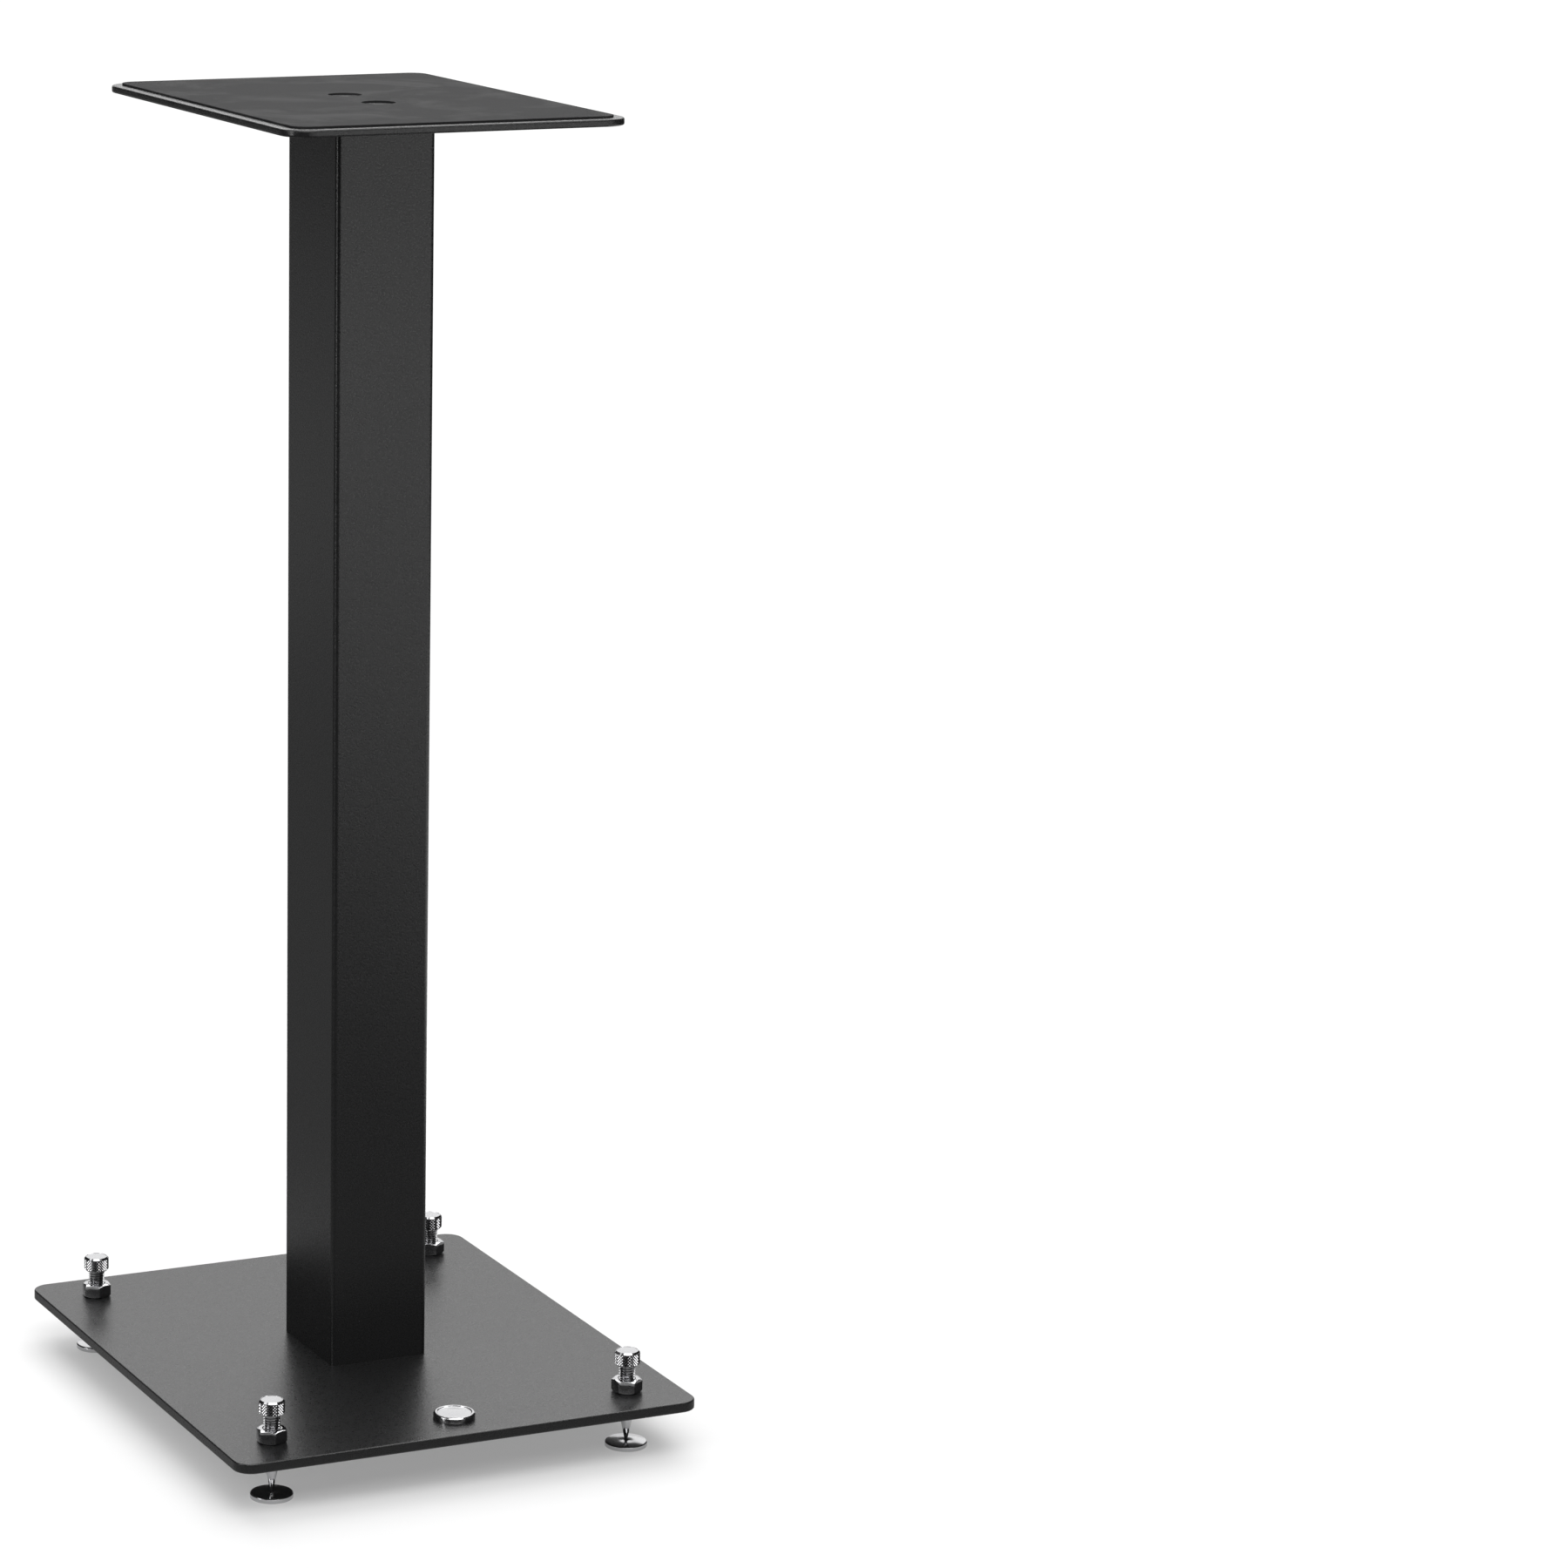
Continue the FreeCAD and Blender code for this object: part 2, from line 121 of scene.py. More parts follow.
def mix_colours(tree, share, first, second):
    """The first colour where share is 0, the second where it is 1."""
    feeds = {"Factor": share, FIRST_COLOUR: first, SECOND_COLOUR: second}
    return add_node(tree, "ShaderNodeMix", feeds, data_type="RGBA").outputs[MIXED_COLOUR]


def mix_shaders(tree, share, first, second):
    """The first shader where share is 0, the second where it is 1."""
    return add_node(tree, "ShaderNodeMixShader", {0: share, 1: first, 2: second}).outputs[0]


def new_group(name, inputs, outputs):
    """Start a node group. Returns its tree, and the sockets inside it to read from and feed."""
    tree = bpy.data.node_groups.new(name, "ShaderNodeTree")
    for title, kind in inputs.items():
        tree.interface.new_socket(title, in_out="INPUT", socket_type="NodeSocket" + kind)
    for title, kind in outputs.items():
        tree.interface.new_socket(title, in_out="OUTPUT", socket_type="NodeSocket" + kind)
    given = tree.nodes.new("NodeGroupInput").outputs
    wanted = tree.nodes.new("NodeGroupOutput").inputs
    return tree, given, wanted


def new_material(name):
    """An empty node material and its Principled shader."""
    material = bpy.data.materials.new(name)
    material.use_nodes = True
    tree = material.node_tree
    tree.nodes.clear()
    shader = tree.nodes.new("ShaderNodeBsdfPrincipled")
    output = tree.nodes.new("ShaderNodeOutputMaterial")
    tree.links.new(shader.outputs["BSDF"], output.inputs["Surface"])
    return material, tree, shader


print("node helpers are ready")

# %% [markdown]
# ## Group: grain
# Powder coat, moulded rubber and oxide black all have a fine grain, only finer or coarser.
# An image of the grain would repeat and blur, so it is made of noise. The noise reads Object
# coordinates, which are metres here, so a grain size is a real size. The group gives a height
# for the bump, a roughness that varies with the grain, and a colour that is a little lighter
# on the high spots and drifts slowly over the piece.

# %% Make the grain group
grain_tree, given, wanted = new_group(
    "fine_grain",
    {
        "Colour": "Color",
        "Grain size": "Float",
        "Speckle": "Float",
        "Roughness": "Float",
        "Drift": "Float",
    },
    {"Colour": "Color", "Roughness": "Float", "Height": "Float"},
)
position = add_node(grain_tree, "ShaderNodeTexCoord", {}).outputs["Object"]
grains_per_metre = add_math(grain_tree, "DIVIDE", 1.0, given["Grain size"])
grain = add_node(
    grain_tree,
    "ShaderNodeTexNoise",
    {"Vector": position, "Scale": grains_per_metre, "Detail": 2.0, "Roughness": 0.6},
).outputs["Fac"]
DRIFT_PER_METRE = 9.0
drift = add_node(
    grain_tree, "ShaderNodeTexNoise", {"Vector": position, "Scale": DRIFT_PER_METRE, "Detail": 4.0}
).outputs["Fac"]
# Both noises lie between 0 and 1. Less their middle, and times a strength, they swing round 0.
NOISE_MIDDLE = 0.5
grain_swing = add_math(grain_tree, "SUBTRACT", grain, NOISE_MIDDLE)
drift_swing = add_math(grain_tree, "SUBTRACT", drift, NOISE_MIDDLE)
speckled = add_math(grain_tree, "MULTIPLY_ADD", grain_swing, given["Speckle"], 1.0)
brightness = add_math(grain_tree, "MULTIPLY_ADD", drift_swing, given["Drift"], speckled)
coloured = add_node(
    grain_tree,
    "ShaderNodeVectorMath",
    {0: given["Colour"], "Scale": brightness},
    operation="SCALE",
)
ROUGHNESS_SWING = 0.25
roughened = add_math(
    grain_tree, "MULTIPLY_ADD", grain_swing, ROUGHNESS_SWING, given["Roughness"]
)
grain_tree.links.new(coloured.outputs["Vector"], wanted["Colour"])
grain_tree.links.new(roughened, wanted["Roughness"])
grain_tree.links.new(grain, wanted["Height"])
print("grain group:", len(grain_tree.nodes), "nodes")

# %% [markdown]
# ## Group: turning marks
# A part from a lathe has very fine rings where the tool went round it. Rings could be drawn
# with a pattern round one centre, but there are many turned parts. So each turned mesh below
# stores, at every vertex, how far along its outline the vertex lies, and the group turns that
# one number into rings with a noise that has only one dimension.

# %% Make the turning marks group
ALONG = "along_outline"
turning_tree, given, wanted = new_group(
    "turning_marks",
    {"Spacing": "Float", "Roughness": "Float"},
    {"Roughness": "Float", "Height": "Float"},
)
along = add_node(turning_tree, "ShaderNodeAttribute", {}, attribute_name=ALONG).outputs["Fac"]
rings_per_metre = add_math(turning_tree, "DIVIDE", 1.0, given["Spacing"])
rings = add_node(
    turning_tree,
    "ShaderNodeTexNoise",
    {"W": along, "Scale": rings_per_metre, "Detail": 3.0},
    noise_dimensions="1D",
).outputs["Fac"]
RING_ROUGHNESS = 0.12
ring_roughness = add_math(
    turning_tree, "MULTIPLY_ADD", rings, RING_ROUGHNESS, given["Roughness"]
)
turning_tree.links.new(ring_roughness, wanted["Roughness"])
turning_tree.links.new(rings, wanted["Height"])
print("turning marks group:", len(turning_tree.nodes), "nodes")

# %% [markdown]
# ## Grained finishes
# Five finishes share the grain group and differ in their values, and the first two are made
# here. The powder coat is a satin black plastic with a grain of about a millimetre, and it
# mirrors the column softly in the base plate. The oxide black of the screws is finer and nearly
# smooth. A helper puts the group, a Bump node and the shader together. The bump's distance is
# the real depth of the grain.

# %% Powder coat and oxide black


def grained_material(name, colour, grain_size, speckle, roughness, drift, depth):
    """A plain coloured material with the fine grain."""
    material, tree, shader = new_material(name)
    feeds = {
        "Colour": (*colour, 1.0),
        "Grain size": grain_size,
        "Speckle": speckle,
        "Roughness": roughness,
        "Drift": drift,
    }
    group = add_node(tree, "ShaderNodeGroup", feeds, node_tree=grain_tree)
    bump = add_node(tree, "ShaderNodeBump", {"Height": group.outputs["Height"], "Distance": depth})
    tree.links.new(group.outputs["Colour"], shader.inputs["Base Color"])
    tree.links.new(group.outputs["Roughness"], shader.inputs["Roughness"])
    tree.links.new(bump.outputs["Normal"], shader.inputs["Normal"])
    return material, tree, shader


powder_coat, _, _ = grained_material(
    "powder_coat", (0.009, 0.009, 0.0093), 1.0 * MM, 0.9, 0.30, 0.25, 0.075 * MM
)
oxide_black, _, _ = grained_material(
    "oxide_black", (0.020, 0.020, 0.021), 0.30 * MM, 0.5, 0.45, 0.3, 0.01 * MM
)
print("grained:", powder_coat.name, oxide_black.name)

# %% [markdown]
# ## Rubber mat
# The mat is a dull sheet of rubber. It is lighter than the powder coat, and handling leaves
# faint pale smudges on it. The smudges are a second, large noise, cut off so that only its
# peaks show, and mixed over the grain's colour.

# %% Rubber
mat_rubber, tree, shader = grained_material(
    "mat_rubber", (0.014, 0.014, 0.0145), 0.5 * MM, 0.5, 0.80, 0.5, 0.03 * MM
)
MAT_GLOSS = 0.12
shader.inputs["Specular IOR Level"].default_value = MAT_GLOSS
position = add_node(tree, "ShaderNodeTexCoord", {}).outputs["Object"]
SMUDGES_PER_METRE = 22.0
SMUDGE_STARTS = 0.48
SMUDGE_FULL = 0.78
SMUDGE_STRENGTH = 0.28
SMUDGE_TONE = (0.12, 0.12, 0.12, 1.0)
smudge_noise = add_node(
    tree,
    "ShaderNodeTexNoise",
    {
        "Vector": position,
        "Scale": SMUDGES_PER_METRE,
        "Detail": 6.0,
        "Roughness": 0.65,
        "Distortion": 0.8,
    },
).outputs["Fac"]
smudge_mask = add_ramp(tree, smudge_noise, SMUDGE_STARTS, SMUDGE_FULL, high=SMUDGE_STRENGTH)
plain_colour = shader.inputs["Base Color"].links[0].from_socket
smudged = mix_colours(tree, smudge_mask, plain_colour, SMUDGE_TONE)
tree.links.new(smudged, shader.inputs["Base Color"])
print("rubber:", len(tree.nodes), "nodes")

# %% [markdown]
# ## Bright plating
# Spikes, nuts, discs and badge are plated, so they are nearly a mirror. Base Color is what a
# metal reflects, and Metallic is 1. Turned parts get the turning marks in their roughness and
# bump. In a knurl's grooves the colour is painted dark, as painted shade, and a second number
# stored in the mesh says where they are. Nuts and badge are pressed, not turned, and get a trace
# of grain. The hidden plates in the column's ends are bare steel, which is duller and rougher.

# %% Plating on turned and on pressed parts, and bare steel
PLATING = (0.53, 0.53, 0.54, 1.0)
# Painted shade: the knurl's grooves get this dark colour in place of the plating's.
GROOVE_SHADE_STARTS = 0.62
GROOVE_SHADE_FULL = 1.0
GROOVE_SHADE_TONE = (0.035, 0.035, 0.036, 1.0)
IN_GROOVE = "in_groove"
MARK_SPACING = 0.09 * MM
MARK_ROUGHNESS = 0.06
MARK_DEPTH = 0.002 * MM
turned_plating, tree, shader = new_material("turned_plating")
shader.inputs["Metallic"].default_value = 1.0
# Painted shade in the knurl's grooves, mixed into the plating's colour by the groove number.
in_groove = add_node(tree, "ShaderNodeAttribute", {}, attribute_name=IN_GROOVE).outputs["Fac"]
groove_shade_mask = add_ramp(tree, in_groove, GROOVE_SHADE_STARTS, GROOVE_SHADE_FULL)
plating_with_groove_shade = mix_colours(tree, groove_shade_mask, PLATING, GROOVE_SHADE_TONE)
tree.links.new(plating_with_groove_shade, shader.inputs["Base Color"])
marks = add_node(
    tree,
    "ShaderNodeGroup",
    {"Spacing": MARK_SPACING, "Roughness": MARK_ROUGHNESS},
    node_tree=turning_tree,
)
bump = add_node(
    tree, "ShaderNodeBump", {"Height": marks.outputs["Height"], "Distance": MARK_DEPTH}
)
tree.links.new(marks.outputs["Roughness"], shader.inputs["Roughness"])
tree.links.new(bump.outputs["Normal"], shader.inputs["Normal"])

pressed_plating, _, shader = grained_material(
    "pressed_plating", PLATING[:3], 0.8 * MM, 0.1, 0.10, 0.1, 0.004 * MM
)
shader.inputs["Metallic"].default_value = 1.0

bare_steel, _, shader = grained_material(
    "bare_steel", (0.42, 0.42, 0.43), 0.4 * MM, 0.4, 0.38, 0.4, 0.01 * MM
)
shader.inputs["Metallic"].default_value = 1.0
print("plating:", turned_plating.name, pressed_plating.name, bare_steel.name)

# %% [markdown]
# ## Finishes on the CAD pieces
# A CAD node whose shape is right only needs its material slot filled. The record names the
# finish of each node, and this table says which material here is that finish.

# %% Give the CAD nodes their finishes
FINISH_OF_SLOT = {
    "powder_coat": powder_coat,
    "mat_rubber": mat_rubber,
    "bright_plating": turned_plating,
    "black_screws": oxide_black,
    "bare_steel": bare_steel,
}
for subpart in frame["record"]["subparts"]:
    node = frame["nodes"][subpart["node"]]
    node.material_slots[0].material = FINISH_OF_SLOT[subpart["material_slot"]]

# %% [markdown]
# ## Turned shapes
# A lathe turns a bar against an outline, and bmesh has the same tool: spin takes a chain of
# edges round an axis. The chain is half the part's section, as radius and height. A full
# spin merges its last ring with its first, and points on the axis are merged afterwards.
# When each step also rises a little, the same operator winds a screw thread.

# %% Turning helpers
SPIN_STEPS = 56
SAME_PLACE = 0.0005 * MM


def draw_outline(bm, outline):
    """Half a section as a chain of edges. The outline is (radius, height) pairs in millimetres."""
    corners = [bm.verts.new((radius * MM, 0, height * MM)) for radius, height in outline]
    return corners + [bm.edges.new(pair) for pair in zip(corners, corners[1:])]


def spin_outline(bm, outline, rise=0.0):
    """Turn an outline round the Z axis, rising by this many metres in the full turn."""
    bmesh.ops.spin(
        bm,
        geom=draw_outline(bm, outline),
        cent=(0, 0, 0),
        axis=(0, 0, 1),
        dvec=(0, 0, rise / SPIN_STEPS),
        angle=math.tau,
        steps=SPIN_STEPS,
        use_merge=rise == 0,
    )
    bmesh.ops.remove_doubles(bm, verts=bm.verts, dist=SAME_PLACE)
    bmesh.ops.recalc_face_normals(bm, faces=bm.faces)


def note_outline(bm):
    """Store at each vertex how far along the outline it lies, for the turning marks."""
    layer = bm.verts.layers.float.new(ALONG)
    for vert in bm.verts:
        vert[layer] = vert.co.z - vert.co.xy.length


def soften_edges(bm, sharper_than, width, segments=2):
    """Round every edge that turns by more than an angle in degrees."""
    limit = math.radians(sharper_than)
    sharp = [edge for edge in bm.edges if edge.is_manifold and edge.calc_face_angle(0) > limit]
    bmesh.ops.bevel(
        bm,
        geom=sharp,
        offset=width,
        offset_type="OFFSET",
        affect="EDGES",
        segments=segments,
        profile=0.5,
        material=-1,
        clamp_overlap=True,
    )


def to_mesh(bm, name, smooth_below=30):
    """Turn a bmesh into a mesh that is smooth across edges flatter than an angle in degrees."""
    mesh = bpy.data.meshes.new(name)
    bm.to_mesh(mesh)
    bm.free()
    mesh.shade_smooth()
    mesh.set_sharp_from_angle(angle=math.radians(smooth_below))
    return mesh


def add_piece(name, mesh, body, node, material):
    """Put a mesh into the scene in place of a CAD node, on the node's body."""
    piece = bpy.data.objects.new(name, mesh)
    bpy.context.scene.collection.objects.link(piece)
    mesh.materials.append(material)
    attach(piece, body)
    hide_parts(node)


print("steps in a full spin:", SPIN_STEPS)

# %% [markdown]
# ## Spike: the thread
# The real thread is cut with a tool of 60 degrees, 1.25 mm further with each turn. One tooth
# is a slope up, a flat crest, a slope down and a flat root. A row of teeth spun with a rise
# of one tooth meets itself one tooth higher, so the merged result is one winding thread. Its
# ragged ends are then cut off level and closed.

# %% Wind the thread
PITCH = 1.25
THREAD_RADIUS = 4.0
DEPTH_SHARE = 0.6134  # a metric thread is this share of its pitch deep
ROOT_RADIUS = THREAD_RADIUS - DEPTH_SHARE * PITCH
CREST = PITCH / 8
ROOT = PITCH / 4
CONE_TOP = 18.8
HEAD_FOOT = 40.8
NEAR_CUT = 10 * SAME_PLACE


def thread_outline(low, high):
    """A row of teeth that reaches at least a turn past both ends."""
    slope = (PITCH - CREST - ROOT) / 2
    teeth = math.ceil((high - low) / PITCH) + 3
    first_foot = low - 2 * PITCH
    outline = []
    for tooth in range(teeth):
        foot = first_foot + tooth * PITCH
        crest_foot = foot + ROOT + slope
        outline += [(ROOT_RADIUS, foot), (ROOT_RADIUS, foot + ROOT)]
        outline += [(THREAD_RADIUS, crest_foot), (THREAD_RADIUS, crest_foot + CREST)]
    return outline + [(ROOT_RADIUS, first_foot + teeth * PITCH)]


def cut_level(bm, height, keep_above):
    """Cut a shell off level, at a height in millimetres, and close the cut."""
    level = height * MM
    bmesh.ops.bisect_plane(
        bm,
        geom=[*bm.verts, *bm.edges, *bm.faces],
        dist=SAME_PLACE,
        plane_co=(0, 0, level),
        plane_no=(0, 0, 1),
        clear_inner=keep_above,
        clear_outer=not keep_above,
    )
    open_edges = [edge for edge in bm.edges if edge.is_boundary]
    rim = [edge for edge in open_edges if abs(edge.verts[0].co.z - level) < NEAR_CUT]
    bmesh.ops.edgeloop_fill(bm, edges=rim)


thread = bmesh.new()
spin_outline(thread, thread_outline(CONE_TOP, HEAD_FOOT), rise=PITCH * MM)
cut_level(thread, CONE_TOP, keep_above=True)
cut_level(thread, HEAD_FOOT, keep_above=False)
bmesh.ops.recalc_face_normals(thread, faces=thread.faces)
print("thread:", len(thread.faces), "faces, open edges:", sum(e.is_boundary for e in thread.edges))

# %% [markdown]
# ## Spike: the knurled head
# A knurl is pressed in by two wheels whose slanted teeth cross, and leaves small pyramids.
# Modelling each pyramid by hand would take for ever. A spun wall of square faces has corners
# in a chequer pattern: when every second corner is pushed in, and each face is split between
# its two pushed-in corners, the splits line up as crossing grooves, with a pyramid between
# them. The wall's lower rows also narrow, because the knurl runs over the head's lower bevel.

# %% Turn and knurl the head
HEAD_RADIUS = 6.25
HEAD_TOP = 48.0
TOP_BEVEL = 0.95
FOOT_BEVEL = 1.0
FACE_DEPTH = 0.12  # the top face lies this far below the rim round it
FACE_INSET = 0.35  # from the bevel in to the edge of that face
RIM_WIDTH = 0.2
SHOULDER_IN = 0.25  # the bevel has one bend, this far in from the wall
SHOULDER_UP = 0.15  # and this far above it
KNURL_ROWS = 8
KNURL_DEPTH = 0.55
KNURL_TOP = HEAD_TOP - TOP_BEVEL
KNURL_FOOT = HEAD_FOOT + 0.25
ROW_TOLERANCE = 0.01
INNER_SHARE = 0.6  # within this share of the radius no vertex is on the wall

row_height = (KNURL_TOP - KNURL_FOOT) / KNURL_ROWS
knurl_wall = []
for row in range(KNURL_ROWS + 1):
    height = KNURL_TOP - row * row_height
    narrowing = max(0.0, HEAD_FOOT + FOOT_BEVEL - height)
    knurl_wall.append((HEAD_RADIUS - narrowing, height))
head_outline = [
    (0, HEAD_TOP - FACE_DEPTH),
    (HEAD_RADIUS - TOP_BEVEL - FACE_INSET, HEAD_TOP - FACE_DEPTH),
    (HEAD_RADIUS - TOP_BEVEL - RIM_WIDTH, HEAD_TOP),
    (HEAD_RADIUS - TOP_BEVEL, HEAD_TOP),
    (HEAD_RADIUS - SHOULDER_IN, KNURL_TOP + SHOULDER_UP),
    *knurl_wall,
    (HEAD_RADIUS - FOOT_BEVEL, HEAD_FOOT),
    (0, HEAD_FOOT),
]
head = bmesh.new()
spin_outline(head, head_outline)
groove_layer = head.verts.layers.float.new(IN_GROOVE)


def knurl_place(vert):
    """Row and step of a vertex of the knurled wall, or None for any other vertex."""
    row = (KNURL_TOP - vert.co.z / MM) / row_height
    if abs(row - round(row)) > ROW_TOLERANCE or not 0 <= round(row) <= KNURL_ROWS:
        return None
    step = math.atan2(vert.co.y, vert.co.x) / math.tau * SPIN_STEPS
    return round(row), round(step)


inner_radius = INNER_SHARE * HEAD_RADIUS * MM
outer = [vert for vert in head.verts if vert.co.xy.length > inner_radius]
wall = [(vert, knurl_place(vert)) for vert in outer]
grooved = [vert for vert, place in wall if place and (place[0] + place[1]) % 2 == 0]
for vert in grooved:
    vert.co.xy *= 1 - KNURL_DEPTH * MM / vert.co.xy.length
    vert[groove_layer] = 1.0
bmesh.ops.connect_verts(head, verts=grooved)
print("knurl:", len(grooved), "corners pushed in,", len(head.faces), "faces")

# %% [markdown]
# ## Spike: the cone
# The spike itself is a plain polished cone with a small round tip, which stands in the seat
# of its floor disc. It is one more spin, with the tip as a few points on an arc.

# %% Turn the cone and join the spike
TIP_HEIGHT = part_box("spike_stud_front_left")[0].z / MM
TIP_RADIUS = 0.55
TIP_POINTS = 5
TIP_TURN = math.radians(80)
BAND_HEIGHT = 0.1  # the upright band between cone and thread
cone_outline = []
for step in range(TIP_POINTS):
    turn = TIP_TURN * step / (TIP_POINTS - 1)
    height = TIP_HEIGHT + TIP_RADIUS * (1 - math.cos(turn))
    cone_outline.append((TIP_RADIUS * math.sin(turn), height))
cone_outline += [(THREAD_RADIUS, CONE_TOP - BAND_HEIGHT), (THREAD_RADIUS, CONE_TOP), (0, CONE_TOP)]
cone = bmesh.new()
spin_outline(cone, cone_outline)

spike = bmesh.new()
for part in (head, thread, cone):
    shell = to_mesh(part, "shell")
    spike.from_mesh(shell)
    bpy.data.meshes.remove(shell)
note_outline(spike)
spike_mesh = to_mesh(spike, "spike", smooth_below=28)
marked = sum(corner.value > 0 for corner in spike_mesh.attributes[IN_GROOVE].data)
print("spike:", len(spike_mesh.polygons), "faces,", marked, "corners in grooves")

# %% [markdown]
# ## Floor disc
# The disc is turned and polished: a flat face, a bevelled rim and a small conical seat in the
# middle. Real edges are never quite sharp, and on a mirror finish the small round along each
# edge is what catches the light, so every edge of the spun shape gets a narrow bevel.

# %% Turn the floor disc
disc_low, disc_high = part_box("floor_disc_front_left")
DISC_RADIUS = (disc_high.x - disc_low.x) / 2 / MM
DISC_TOP = disc_high.z / MM
DISC_BEVEL = 0.5
UNDER_BEVEL = 0.2
SEAT_RADIUS = 1.5
SEAT_DEPTH = 0.8
disc_outline = [
    (0, 0),
    (DISC_RADIUS - UNDER_BEVEL, 0),
    (DISC_RADIUS, UNDER_BEVEL),
    (DISC_RADIUS, DISC_TOP - DISC_BEVEL),
    (DISC_RADIUS - DISC_BEVEL, DISC_TOP),
    (SEAT_RADIUS, DISC_TOP),
    (0, DISC_TOP - SEAT_DEPTH),
]
disc = bmesh.new()
spin_outline(disc, disc_outline)
soften_edges(disc, sharper_than=20, width=0.08 * MM)
note_outline(disc)
disc_mesh = to_mesh(disc, "disc")
print("disc:", len(disc_mesh.polygons), "faces")

# %% [markdown]
# ## Put the spikes and discs on their feet
# The four feet are alike, so one mesh of each is copied and moved to each axis. The place
# goes into the mesh and the object stays at the origin, as the CAD nodes do.

# %% Place spikes and discs


def at_axis(mesh, name, foot):
    """A copy of a mesh, moved to the axis of a foot."""
    copy = mesh.copy()
    copy.name = name
    copy.transform(Matrix.Translation(foot_axis[foot]))
    return copy


for foot in FEET:
    spike_name = "turned_spike_" + foot
    disc_name = "turned_disc_" + foot
    add_piece(
        spike_name,
        at_axis(spike_mesh, spike_name, foot),
        "spike_" + foot,
        "spike_stud_" + foot,
        turned_plating,
    )
    add_piece(
        disc_name,
        at_axis(disc_mesh, disc_name, foot),
        "disc_" + foot,
        "floor_disc_" + foot,
        turned_plating,
    )
bpy.data.meshes.remove(spike_mesh)
bpy.data.meshes.remove(disc_mesh)
print("placed", 2 * len(FEET), "turned pieces")

# %% [markdown]
# ## Lock nuts
# The CAD nut has the right form, with its six flats cut by a cone, but its corners are
# perfectly sharp. A copy of the CAD mesh is cleaned up: doubles merged and the flat triangles
# dissolved into whole faces. Its edges are then softened, which gives each corner the thin
# bright line that a real plated nut shows.

# %% Soften the nuts


def softened_nut(foot):
    """A copy of a CAD nut with whole faces and soft edges."""
    bm = bmesh.new()
    bm.from_mesh(frame["nodes"]["lock_nut_" + foot].data)
    bmesh.ops.remove_doubles(bm, verts=bm.verts, dist=SAME_PLACE)
    bmesh.ops.dissolve_limit(bm, angle_limit=math.radians(1), verts=bm.verts, edges=bm.edges)
    soften_edges(bm, sharper_than=45, width=0.18 * MM, segments=3)
    return to_mesh(bm, "soft_nut_" + foot, smooth_below=25)


for foot in FEET:
    add_piece(
        "soft_nut_" + foot,
        softened_nut(foot),
        "nut_" + foot,
        "lock_nut_" + foot,
        pressed_plating,
    )
print("nuts:", len(FEET))

# %% [markdown]
# ## Badge
# A plain round button sits near the front edge of the base plate. Its outline is spun like the
# discs', with a slightly domed face inside a raised rim, so that it reflects more than one flat
# tone.

# %% Spin the badge
badge_low, badge_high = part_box("front_badge")
BADGE_RADIUS = (badge_high.x - badge_low.x) / 2 / MM
BADGE_FOOT = badge_low.z / MM
BADGE_TOP = badge_high.z / MM
BADGE_BEVEL = 0.7
DOME_DROP = 0.02  # the middle of the face stays this far below the rim
# The face inside the rim, as pairs: how far in from the edge, and how far below the top.
BADGE_FACE = ((1.6, 0.0), (2.0, 0.4), (5.0, 0.15))
badge_outline = [
    (0, BADGE_FOOT),
    (BADGE_RADIUS, BADGE_FOOT),
    (BADGE_RADIUS, BADGE_TOP - BADGE_BEVEL),
    (BADGE_RADIUS - BADGE_BEVEL, BADGE_TOP),
    *[(BADGE_RADIUS - inward, BADGE_TOP - drop) for inward, drop in BADGE_FACE],
    (0, BADGE_TOP - DOME_DROP),
]
badge = bmesh.new()
spin_outline(badge, badge_outline)
soften_edges(badge, sharper_than=20, width=0.1 * MM)
bmesh.ops.translate(badge, vec=middle_axis("front_badge"), verts=badge.verts)
badge_mesh = to_mesh(badge, "turned_badge", smooth_below=35)
add_piece("turned_badge", badge_mesh, "stand", "front_badge", pressed_plating)
print("badge:", len(badge_mesh.polygons), "faces")

# %% [markdown]
# ## Floor
# A plain pale floor shows where the stand is standing by its soft shadow. The picture wants
# the floor white, but a white floor would light up every black side of the stand. Light Path
# tells the shader which rays come straight from the camera: those see white paint, and all
# others see a grey floor. Ray Length makes one exception: a reflection seen from a few
# centimetres, in a disc or a spike's cone, shows the same white floor as the camera sees
# beside it. Far away the floor fades to an even white, so it has no visible end.

# %% Lay the floor
FLOOR_RADIUS = 14.0
NEAR_FLOOR = 0.45
FAR_FLOOR = 1.3
WHITE = (1.0, 1.0, 1.0, 1.0)
FLOOR_PAINT = (0.55, 0.55, 0.55, 1.0)
FLOOR_GLOW = 0.30
EVEN_WHITE = 1.05
FLOOR_SIDES = 96
FLOOR_ROUGHNESS = 0.9
NEAR_GREY = 0.2
FAR_GREY = 0.5
GREY_BESIDE = 0.25  # nearer to the stand's middle than NEAR_GREY
GREY_BEYOND = 0.10  # farther than FAR_GREY
SHORT_LOOK = 0.02
LONG_LOOK = 0.06
floor_bm = bmesh.new()
bmesh.ops.create_circle(floor_bm, cap_ends=True, segments=FLOOR_SIDES, radius=FLOOR_RADIUS)
floor_mesh = bpy.data.meshes.new("floor")
floor_bm.to_mesh(floor_mesh)
floor_bm.free()
floor = bpy.data.objects.new("floor", floor_mesh)
bpy.context.scene.collection.objects.link(floor)

